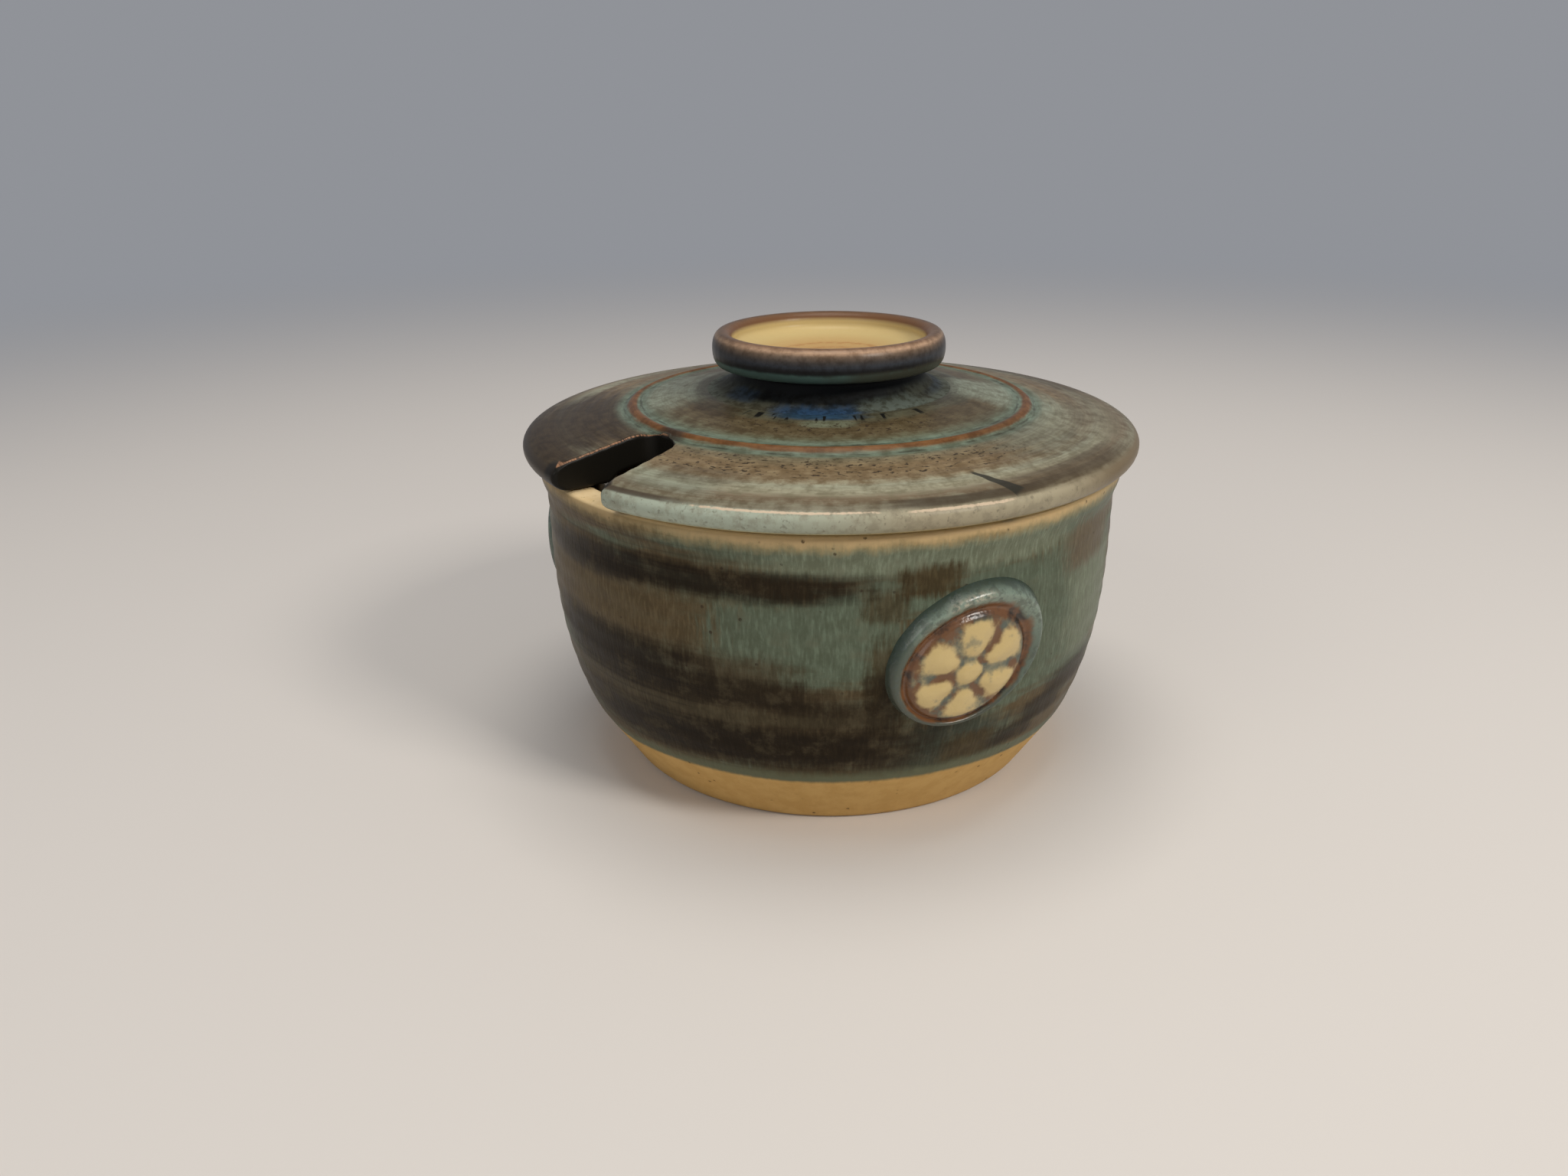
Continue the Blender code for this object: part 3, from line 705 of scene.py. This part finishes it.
lid_glaze, tree, shader = glazed("ringed_glaze", 0.36, 0.12)
spot = add(tree, "ShaderNodeGroup", node_tree=turning).outputs
out, round_it = spot["Radius"], spot["Around"]
break_at, wall_at, low_at, notch_at, under_at = (
    attribute(tree, label) for label in ("break", "wall", "low", "notch", "under"))
swept, fine, flecks, grain, dripped = (
    drawn(tree, spot, across, along, detail, "Radius") for across, along, detail in (
        (1.8, 0.5, 3.0), (7.0, 1.5, 3.0), (38.0, 1.9, 2.0), (9.0, 2.3, 4.0), (17.0, 0.12, 1.0)))
blotch = noise(tree, own_place(tree), 430.0, 5.0, 0.65)
pits = noise(tree, own_place(tree), 1300.0, 2.0)
soft = swing(tree, (fine, 0.9), (swept, 1.2))
wander = calc(tree, "ADD", out, swing(tree, (swept, 2.6), (fine, 1.2), (grain, 1.0), (blotch, 4.0)))
colour = ramped(tree, calc(tree, "DIVIDE", wander, lid_radius / MM), 0.0, 1.0, [
    (0.425, (0.070, 0.066, 0.042)), (0.448, (0.086, 0.080, 0.050)), (0.475, (0.086, 0.063, 0.032)),
    (0.545, (0.102, 0.077, 0.040)), (0.590, (0.120, 0.120, 0.074)), (0.620, (0.128, 0.130, 0.082)),
    (0.690, (0.170, 0.148, 0.092)), (0.760, (0.198, 0.138, 0.072)), (0.820, (0.205, 0.150, 0.084)),
    (0.870, (0.300, 0.292, 0.208)), (0.905, (0.300, 0.276, 0.190)), (0.935, (0.180, 0.136, 0.086)),
    (0.965, (0.185, 0.165, 0.112))])
for over, softness, patches in (
        (brush_teal, 0.8, [
            (46.0, 16.0, 30.0, 8.0, 0.8), (-138.0, 26.0, 31.5, 7.0, 0.75), (-73.0, 9.0, 49.6, 2.6, 0.6),
            (110.0, 30.0, 46.0, 5.0, 0.35), (24.0, 24.0, 41.0, 4.5, 0.6), (30.0, 24.0, 48.0, 3.5, 0.2)]),
        (brush_brown, 0.7, [
            (2.0, 18.0, 51.8, 2.4, 0.8), (48.0, 26.0, 47.0, 4.5, 0.6), (-69.0, 9.0, 46.4, 2.6, 0.5),
            (84.0, 18.0, 47.0, 5.0, 0.5), (160.0, 30.0, 47.0, 6.0, 0.7)]),
        (brush_black, 0.8, [
            (-121.0, 27.0, 46.0, 10.0, 0.97), (-113.0, 17.0, 52.6, 3.6, 0.9), (-95.0, 13.0, 24.8, 2.4, 0.7),
            (86.0, 24.0, 50.0, 3.0, 0.6)]),
        (pooled_blue, 0.7, [(-49.0, 19.0, 22.8, 1.7, 0.92)]),
        (pooled_teal, 0.8, [(-44.0, 9.0, 26.0, 1.3, 0.7)])):
    colour = strokes(tree, colour, round_it, out, soft, over, softness, patches)

# The raised ring: rust on its crest, teal to both sides and a broken dark line between them.
ring_place = calc(tree, "ADD", out, swing(tree, (fine, 0.7), (grain, 0.5)))
ring_side = apart(tree, ring_place, ring_radius / MM)
colour = blend(tree, times(tree, ease(tree, ring_side, 3.6, 1.7), 0.8), colour, ring_teal)
colour = blend(tree, times(tree, ease(tree, ring_side, 1.1, 0.5), 0.9), colour, ring_rust)
ring_line = ease(tree, apart(tree, ring_side, 1.45), 0.40, 0.08)
ring_line = times(tree, ring_line, ease(tree, fine, 0.42, 0.62), 0.75)
colour = blend(tree, ring_line, colour, ring_dark)
colour = strokes(tree, colour, round_it, out, soft, smear, 0.9, [(-89.5, 4.6, 35.8, 1.5, 0.85)])
for value, low, high, factor in (
        (grain, 0.58, 0.36, (0.86, 0.84, 0.81)), (grain, 0.48, 0.66, (1.07, 1.08, 1.08)),
        (blotch, 0.56, 0.36, (0.72, 0.69, 0.64)), (blotch, 0.50, 0.68, (1.14, 1.18, 1.19))):
    colour = tint(tree, ease(tree, value, low, high), colour, factor)
front = ease(tree, towards(tree, round_it, -42.0), 0.56, 0.84)
fleck_zone = calc(tree, "MAXIMUM", times(tree, ease(tree, out, 24.5, 25.5), ease(tree, out, 31.0, 29.5)),
                  times(tree, ease(tree, out, 37.5, 39.0), ease(tree, out, 46.0, 44.0)))
colour = blend(tree, times(tree, ease(tree, flecks, 0.58, 0.65), front, fleck_zone), colour, fleck_brown)

# The round edge: pale and pitted in front, dark to the left and at the back, ochre along its lower line.
# In front it carries a painted highlight on its upper rounding and a painted sheen on that lower line.
rim_face = calc(tree, "SUBTRACT", 1.0, notch_at)
edge_level = times(tree, wall_at, 10.0)
colour = strokes(tree, colour, round_it, edge_level, soft, edge_shadow, 0.8, [
    (-20.0, 14.0, 4.4, 2.6, 0.8), (6.0, 16.0, 3.0, 3.0, 0.5)])
pale = blend(tree, ease(tree, towards(tree, round_it, -80.0), 0.62, 0.95), edge_tan, edge_teal)
pale = blend(tree, times(tree, ease(tree, pits, 0.58, 0.72), 0.45), pale, pit_brown)
pale = blend(tree, times(tree, ease(tree, blotch, 0.56, 0.36), 0.45), pale, blotch_olive)
aside = blend(tree, ease(tree, towards(tree, round_it, 48.0), -0.2, 0.3), edge_dark, edge_brown)
face_mask = calc(tree, "ADD", wall_at, swing(tree, (fine, 0.25)))
colour = blend(tree, times(tree, ease(tree, face_mask, 0.62, 0.90), rim_face), colour,
               blend(tree, front, aside, pale))
# Ochre line on the lower rounding in front: partly thinned glaze, partly a painted sheen where that rounding
# catches light.
ochre_sheen_mask = times(tree, ease(tree, low_at, 0.66, 0.80), front, rim_face, 0.75)
colour = blend(tree, ochre_sheen_mask, colour, ochre_sheen_line)
speckle = swing(tree, (grain, 2.0), (pits, 3.0))
for ragged, over, softness, patches in (
        (soft, edge_line_brown, 0.9, [(-77.0, 9.5, 6.8, 1.2, 0.85)]),
        (soft, tip_black, 0.6, [(-98.4, 2.4, 8.5, 4.0, 0.92)]),
        # Painted highlight: pale patches where the lamp's highlight lies on the edge's upper rounding.
        (speckle, painted_edge_glint, 0.6, [(-51.0, 12.0, 7.9, 0.45, 0.9), (-23.0, 8.0, 8.3, 0.45, 0.8)])):
    colour = strokes(tree, colour, round_it, edge_level, ragged, over, softness, patches)

# A scratch that widens outwards: 8.3 mm long from 40.3 mm along its line, which passes 22.3 mm off the axis.
scratch_along, scratch_across = (
    dot(tree, own_place(tree), way) for way in ((976.0, 217.0, 0.0), (-217.0, 976.0, 0.0)))
scratch_share = calc(tree, "DIVIDE", calc(tree, "SUBTRACT", scratch_along, 40.3), 8.3)
scratch_half = calc(tree, "MULTIPLY_ADD", scratch_share, 0.95, 0.18)
scratch_side = calc(tree, "SUBTRACT", apart(tree, scratch_across, -22.3), scratch_half)
scratch = times(tree, ease(tree, scratch_side, 0.22, 0.0), ease(tree, scratch_share, -0.05, 0.08),
                ease(tree, scratch_share, 1.06, 0.96), 0.92)
colour = blend(tree, scratch, colour, scratch_black)

# The notch: black on its cut face, with the glaze broken to copper along the left lip.
cut_face = times(tree, ease(tree, wall_at, 0.45, 0.85), ease(tree, notch_at, 0.05, 0.35))
colour = blend(tree, cut_face, colour, cut_black)
notch_lip = times(tree, ease(tree, break_at, 0.86, 0.98), ease(tree, spot["Cos"], 0.02, -0.02),
                  ease(tree, notch_at, 0.28, 0.60), ease(tree, grain, 0.30, 0.62))
colour = blend(tree, notch_lip, colour, copper)
drip = times(tree, ease(tree, out, 22.4, 23.0), ease(tree, out, 25.4, 24.4),
             ease(tree, dripped, 0.56, 0.61), front)
colour = blend(tree, drip, colour, drip_black)
colour = blend(tree, under_at, colour, blend(tree, ease(tree, out, 45.0, 47.0), under_dark, under_buff))
tree.links.new(colour, shader.inputs["Base Color"])
bump(tree, shader, calc(tree, "MULTIPLY_ADD", fine, 0.5, swept), 0.06 * MM)
lid_piece.data.materials.append(lid_glaze)
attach(lid_piece, "lid")
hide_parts("lid")

# Flange: the collar under the lid that keeps it in the mouth, stopped short each side of the notch.
# It is coloured dark brown, as is the hollow under the lid.
flange_clearance = 0.8 * MM
flange_wall = 3.0 * MM
flange_stop = 0.012
flange_out = mouth_radius - flange_clearance
flange_in = flange_out - flange_wall
flange_low = lid_under - flange_depth
flange_loop = soften([(flange_out, lid_under + 0.6 * MM), (flange_out, flange_low), (flange_in, flange_low),
                      (flange_in, lid_under + 1.6 * MM)], 0.9 * MM)
flange_loop = evenly(np.concatenate([flange_loop, flange_loop[:1]]), 41)[:-1]
first_stop, last_stop = (notch_angle(flange_out, side) + flange_stop for side in (1, -1))
sweep = np.linspace(first_stop, 2 * np.pi - last_stop, 220)
sweep = np.concatenate([sweep[:1], sweep, sweep[-1:]])
size = np.ones(len(sweep))
size[[0, -1]] = 0.0
middle = flange_loop.mean(axis=0)
section = middle + size[:, None, None] * (flange_loop - middle)[None]
flange_grid = np.stack([section[..., 0] * np.sin(sweep)[:, None], -section[..., 0] * np.cos(sweep)[:, None],
                        section[..., 1]], axis=-1)
flange_piece = closed_grid("lid_flange", flange_grid)
flange_glaze, tree, shader = glazed("flange_glaze", 0.42)
grain = noise(tree, own_place(tree), 900.0, 4.0)
tree.links.new(blend(tree, grain, (0.022, 0.017, 0.011), (0.048, 0.036, 0.022)), shader.inputs["Base Color"])
bump(tree, shader, grain, 0.1 * MM)
flange_piece.data.materials.append(flange_glaze)
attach(flange_piece, "lid")
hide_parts("lid")

# Knob: a little cup thrown by itself and luted on the lid. Its rolled rim and the cup are glazed apart:
# cream inside, brown over the rim, then teal, black under the roll and cobalt blue where it meets the lid.
# The black under the roll is partly painted shade beneath its overhang, and the rim carries a painted
# highlight.
knob_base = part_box("lid_knob")[0].z
knob_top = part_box("lid_knob")[1].z
knob_radius = 20.8 * MM
knob_mouth = 17.1 * MM
waist_radius = 16.6 * MM
waist_height = 3.6 * MM
flare_radius = 24.2 * MM
flare_sink = 0.50 * MM
base_sink = 1.2 * MM
crest_radius = (knob_radius + knob_mouth) / 2
roll = knob_radius - crest_radius
cup_top = knob_top - roll
cup_floor = knob_base + 5.4 * MM
bead_half = 3.0 * MM
knob_rows, knob_columns = 190, 240
knob_section = evenly(soften(np.concatenate([
    superellipse((0, cup_top), (knob_mouth, cup_top - cup_floor), 2.4, -90, 0, 40),
    superellipse((crest_radius, cup_top), (roll, roll), 2.0, 180, 90, 12)[1:],
    superellipse((crest_radius, knob_top - bead_half), (roll, bead_half), 2.3, 90, -60, 24)[1:],
    superellipse((flare_radius, knob_base + waist_height),
                 (flare_radius - waist_radius, waist_height + flare_sink), 2.0, 180, 270, 20),
    [(flare_radius, knob_base - base_sink), (0, knob_base - base_sink)],
]), 0.5 * MM), knob_rows)
knob_steps = np.linalg.norm(np.diff(knob_section, axis=0), axis=1)
from_crest = np.concatenate([[0.0], np.cumsum(knob_steps)])
from_crest = (from_crest - from_crest[int(np.argmax(knob_section[:, 1]))]) / MM
knob_piece = closed_grid("knob_cup", turned(knob_section, knob_columns), {
    "from_crest": np.repeat(from_crest[:, None], knob_columns, axis=1)})

bead_olive = (0.046, 0.042, 0.028)
swirl_rust = (0.380, 0.175, 0.060)
waist_black_and_shade = (0.008, 0.009, 0.010)
cobalt = (0.020, 0.056, 0.120)
flare_teal = (0.108, 0.130, 0.110)

knob_glaze, tree, shader = glazed("knob_glaze", 0.30, 0.14)
spot = add(tree, "ShaderNodeGroup", node_tree=turning).outputs
round_it = spot["Around"]
crest_at = attribute(tree, "from_crest")
drips = drawn(tree, spot, 9.0, 0.12)
ragged = swing(tree, (drips, 1.0))
bronze = noise(tree, own_place(tree), 640.0, 4.0, 0.65)
shifted = calc(tree, "ADD", crest_at, times(tree, swing(tree, (drips, 2.0)), ease(tree, crest_at, 4.0, 7.0)))
# The stop at 1.2 mm past the crest is a painted highlight along the rolled rim, where the glaze also breaks
# to copper.
colour = ramped(tree, shifted, -26.0, 26.0, [
    (-24.0, (0.400, 0.215, 0.080)), (-11.0, (0.500, 0.320, 0.130)), (-6.0, (0.540, 0.415, 0.190)),
    (-2.8, (0.540, 0.410, 0.185)), (-2.0, (0.150, 0.072, 0.034)), (-0.4, (0.170, 0.094, 0.052)),
    (0.5, (0.210, 0.124, 0.074)), (1.2, (0.440, 0.290, 0.190)), (1.9, (0.150, 0.104, 0.072)),
    (2.8, (0.062, 0.053, 0.047)), (3.6, (0.038, 0.043, 0.052)), (4.3, (0.012, 0.012, 0.013)),
    (4.8, (0.014, 0.016, 0.016)), (5.2, (0.068, 0.116, 0.102)), (6.7, (0.056, 0.090, 0.076)),
    (7.4, (0.007, 0.007, 0.006)), (10.2, (0.008, 0.009, 0.010)), (11.3, (0.018, 0.021, 0.019)),
    (13.2, (0.056, 0.060, 0.045)), (17.2, (0.072, 0.067, 0.043))])
outside = times(tree, ease(tree, crest_at, -1.5, 0.5), ease(tree, crest_at, 5.2, 4.2))
# The last tint darkens the rim away from the front, so the painted highlight shows only there.
for value, low, high, factor in (
        (bronze, 0.56, 0.36, (0.72, 0.69, 0.66)), (bronze, 0.52, 0.68, (1.15, 1.14, 1.13)),
        (towards(tree, round_it, -36.0), 0.80, 0.20, (0.56, 0.56, 0.54))):
    colour = tint(tree, times(tree, ease(tree, value, low, high), outside), colour, factor)
colour = strokes(tree, colour, round_it, crest_at, ragged, bead_olive, 0.7, [(16.0, 52.0, 6.0, 1.3, 0.85)])
turned_by = calc(tree, "ADD", calc(tree, "ARCTAN2", spot["Sin"], spot["Cos"]),
                 swing(tree, (drips, 3.0), (bronze, 2.0)))
spiral = calc(tree, "SINE", calc(tree, "MULTIPLY_ADD", spot["Radius"], 1.9, turned_by))
swirl = times(tree, ease(tree, spiral, 0.1, 0.9), ease(tree, crest_at, -8.0, -11.0),
              ease(tree, bronze, 0.34, 0.60), 0.6)
colour = blend(tree, swirl, colour, swirl_rust)
# The black at the waist, here and in the ramp above, is partly black glaze and partly painted shade under the
# roll.
for over, softness, patches in (
        (waist_black_and_shade, 0.5, [(-46.0, 46.0, 11.6, 2.6, 0.95)]),
        (cobalt, 0.9, [
            (-49.0, 20.0, 17.2, 2.7, 0.95), (-97.0, 11.0, 13.8, 1.6, 0.4), (60.0, 40.0, 14.6, 1.0, 0.3),
            (170.0, 40.0, 14.6, 1.0, 0.5)]),
        # The narrow patch at -26 degrees is a painted highlight on the flare; the wider patches are teal
        # glaze.
        (flare_teal, 1.0, [
            (-9.0, 17.0, 15.4, 2.2, 0.85), (-26.0, 4.0, 15.4, 0.6, 0.9), (30.0, 40.0, 17.0, 1.8, 0.6),
            (-140.0, 36.0, 17.0, 1.8, 0.6)])):
    colour = strokes(tree, colour, round_it, crest_at, ragged, over, softness, patches)
flare_worn = times(tree, ease(tree, bronze, 0.58, 0.38), ease(tree, crest_at, 10.8, 12.2))
colour = tint(tree, flare_worn, colour, (0.52, 0.48, 0.42))
tree.links.new(colour, shader.inputs["Base Color"])
gloss = calc(tree, "MULTIPLY_ADD", ease(tree, crest_at, 6.5, 9.0), 0.30, 0.30)
tree.links.new(gloss, shader.inputs["Roughness"])
bump(tree, shader, drips, 0.08 * MM)
knob_piece.data.materials.append(knob_glaze)
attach(knob_piece, "lid")
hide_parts("lid_knob")

# Floor, light and camera: a pale table under soft overhead light, seen from a little above. Far from the
# jar the table fades into a plain backdrop for what is seen or mirrored, and lights the jar as it is.
backdrop_tone = (0.28, 0.29, 0.315)
room_tone = (0.22, 0.23, 0.25)
table_tone = (0.69, 0.65, 0.61)
table_radius = 4.0
table_thick = 0.02
table_section = [(0, 0), (0.3, 0), (table_radius, 0), (table_radius, -table_thick), (0, -table_thick)]
floor = closed_grid("floor", turned(np.array(table_section, float), 128))
floor_paint, tree, shader = glazed("floor_paint", 0.6)
shader.inputs["Base Color"].default_value = (*table_tone, 1.0)


def seen_or_mirrored(tree):
    """1 for rays from the camera and for those that gloss or glass passes on, and 0 for the rest."""
    path = add(tree, "ShaderNodeLightPath").outputs
    return calc(tree, "MAXIMUM", path["Is Camera Ray"],
                calc(tree, "MAXIMUM", path["Is Glossy Ray"], path["Is Transmission Ray"]))


away = add(tree, "ShaderNodeGroup", node_tree=turning).outputs["Radius"]
glow = add(tree, "ShaderNodeEmission", {"Color": (*backdrop_tone, 1.0)}).outputs[0]
fade = times(tree, ease(tree, away, 220.0, 800.0), seen_or_mirrored(tree))
table = add(tree, "ShaderNodeMixShader", {0: fade, 1: shader.outputs[0], 2: glow}).outputs[0]
tree.links.new(table, tree.nodes["Material Output"].inputs["Surface"])
floor.data.materials.append(floor_paint)


def soft_light(name, size, watts, position, colour):
    """Square area light that faces the middle of the jar."""
    lamp = bpy.data.lights.new(name, "AREA")
    lamp.size = size
    lamp.energy = watts
    lamp.color = colour
    lamp_object = bpy.data.objects.new(name, lamp)
    aim = (Vector((0, 0, 0.04)) - Vector(position)).to_track_quat("-Z", "Y")
    lamp_object.matrix_world = Matrix.Translation(position) @ aim.to_matrix().to_4x4()
    bpy.context.scene.collection.objects.link(lamp_object)


soft_light("ceiling", 0.50, 3.5, (0.0, 0.0, 0.90), (1.0, 0.96, 0.90))
soft_light("key", 0.22, 3.9, (0.69, 0.07, 0.58), (1.0, 0.95, 0.88))
soft_light("fill", 0.45, 1.1, (0.08, -0.71, 0.45), (1.0, 0.97, 0.93))

world = bpy.data.worlds.new("room")
bpy.context.scene.world = world
world.use_nodes = True
sky = world.node_tree
room = blend(sky, seen_or_mirrored(sky), room_tone, backdrop_tone)
sky.links.new(room, sky.nodes["Background"].inputs["Color"])

camera_distance = 219.53 * MM
camera_height = 115.08 * MM
camera_azimuth = math.radians(45.9)
camera_pitch = math.radians(21.9165)
camera_yaw = math.radians(-2.2207)
camera_roll = math.radians(0.7162)
focal_pixels = 1600.0
image_width = 2048.0
sensor_width = 36.0
forward = Vector((math.sin(camera_yaw) * math.cos(camera_pitch),
                  math.cos(camera_yaw) * math.cos(camera_pitch), -math.sin(camera_pitch)))
sideways = Vector((math.cos(camera_yaw), -math.sin(camera_yaw), 0.0))
upward = sideways.cross(forward)
image_right = math.cos(camera_roll) * sideways - math.sin(camera_roll) * upward
image_up = math.sin(camera_roll) * sideways + math.cos(camera_roll) * upward
pose = Matrix((image_right, image_up, -forward)).transposed().to_4x4()
pose.translation = Vector((0.0, -camera_distance, camera_height))
lens = bpy.data.cameras.new("camera")
lens.sensor_width = sensor_width
lens.lens = focal_pixels / image_width * sensor_width
lens.clip_start = 0.01
camera = bpy.data.objects.new("camera", lens)
camera.matrix_world = Matrix.Rotation(camera_azimuth, 4, "Z") @ pose
bpy.context.scene.collection.objects.link(camera)
bpy.context.scene.camera = camera
bpy.context.scene.view_settings.view_transform = "Standard"
